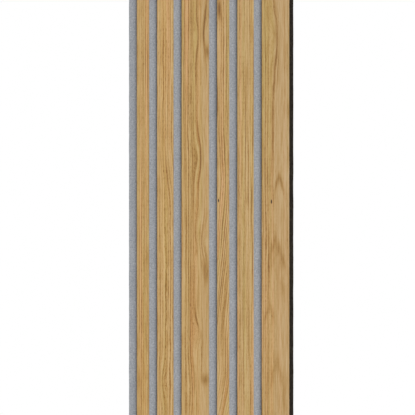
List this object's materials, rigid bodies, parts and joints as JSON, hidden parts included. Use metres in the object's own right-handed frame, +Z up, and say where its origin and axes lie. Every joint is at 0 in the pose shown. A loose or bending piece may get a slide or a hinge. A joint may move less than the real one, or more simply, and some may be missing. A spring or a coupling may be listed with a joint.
{
  "type": "acoustic slat wall panel",
  "caption": "Acoustic wall panel of oak-veneered slats in narrow, medium and wide widths on grey felt over black felt, with a lap joint along both long edges.",
  "frame": {"origin": "on the wall face, at the middle of the cover width and of the length", "axes": "+Z up along the slats, +Y into the wall, -Y faces the room, +X to the right as seen from the room"},
  "size_m": [0.3078, 0.021, 1.2],
  "materials": {
    "oak_veneer": "matt lacquered",
    "mdf_black": "sawn, dyed through",
    "felt_grey": "needle-punched",
    "felt_black": "needle-punched",
    "staple_steel": "galvanized"
  },
  "bodies": {
    "root": {"black_felt_ply": "felt_black", "grey_felt_ply": "felt_grey", "staples": "staple_steel", "narrow_slat_1_core": "mdf_black", "narrow_slat_1_veneer": "oak_veneer", "medium_slat_1_core": "mdf_black", "medium_slat_1_veneer": "oak_veneer", "wide_slat_1_core": "mdf_black", "wide_slat_1_veneer": "oak_veneer", "narrow_slat_2_core": "mdf_black", "narrow_slat_2_veneer": "oak_veneer", "medium_slat_2_core": "mdf_black", "medium_slat_2_veneer": "oak_veneer", "wide_slat_2_core": "mdf_black", "wide_slat_2_veneer": "oak_veneer"}
  },
  "joints": []
}
